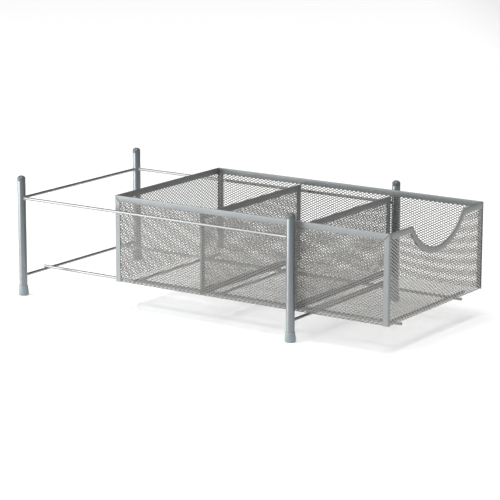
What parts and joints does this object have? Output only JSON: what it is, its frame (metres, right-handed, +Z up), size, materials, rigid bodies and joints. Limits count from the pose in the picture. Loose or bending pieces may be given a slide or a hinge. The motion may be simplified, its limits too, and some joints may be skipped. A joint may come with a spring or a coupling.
{
  "type": "sliding mesh basket organizer",
  "caption": "Expanded-metal mesh basket with three compartments and a scooped front grip, sliding on two runner wires in a low four-post tube and wire frame.",
  "frame": {"origin": "centre of the footprint on the floor, with the basket pulled out 170 mm from closed as drawn", "axes": "+Z up; -Y is the way the basket pulls out, so the scooped grip faces -Y; +X is the right-hand side seen from behind the frame"},
  "size_m": [0.3118, 0.6616, 0.1895],
  "materials": {
    "post_steel": "silver-grey powder coat",
    "rail_steel": "silver powder coat",
    "band_steel": "silver-grey powder coat",
    "mesh_steel": "silver-grey powder coat",
    "cap_plastic": "satin",
    "foot_plastic": "satin"
  },
  "bodies": {
    "frame": {"post_front_left": "post_steel", "post_front_right": "post_steel", "post_rear_left": "post_steel", "post_rear_right": "post_steel", "cap_front_left": "cap_plastic", "cap_front_right": "cap_plastic", "cap_rear_left": "cap_plastic", "cap_rear_right": "cap_plastic", "foot_front_left": "foot_plastic", "foot_front_right": "foot_plastic", "foot_rear_left": "foot_plastic", "foot_rear_right": "foot_plastic", "top_rail_left": "rail_steel", "top_rail_right": "rail_steel", "top_rail_rear": "rail_steel", "cross_rail_front": "rail_steel", "cross_rail_rear": "rail_steel", "runner_left": "rail_steel", "runner_right": "rail_steel"},
    "basket": {"mesh_bottom": "mesh_steel", "mesh_left": "mesh_steel", "mesh_right": "mesh_steel", "mesh_front": "mesh_steel", "mesh_rear": "mesh_steel", "rim_left": "band_steel", "rim_right": "band_steel", "rim_front": "band_steel", "rim_rear": "band_steel", "edge_strip_front_left": "band_steel", "edge_strip_front_right": "band_steel", "edge_strip_rear_left": "band_steel", "edge_strip_rear_right": "band_steel", "divider_front_mesh": "mesh_steel", "divider_front_band_top": "band_steel", "divider_front_band_bottom": "band_steel", "divider_front_band_left": "band_steel", "divider_front_band_right": "band_steel", "divider_rear_mesh": "mesh_steel", "divider_rear_band_top": "band_steel", "divider_rear_band_bottom": "band_steel", "divider_rear_band_left": "band_steel", "divider_rear_band_right": "band_steel", "cross_wire_1": "rail_steel", "cross_wire_2": "rail_steel", "cross_wire_3": "rail_steel", "cross_wire_4": "rail_steel", "guide_wire_left": "rail_steel", "guide_wire_right": "rail_steel"}
  },
  "joints": [
    {"name": "basket_slide", "type": "slide", "parent": "frame", "child": "basket", "axis": [0, -1, 0], "range_m": [-0.17, 0.08]}
  ]
}
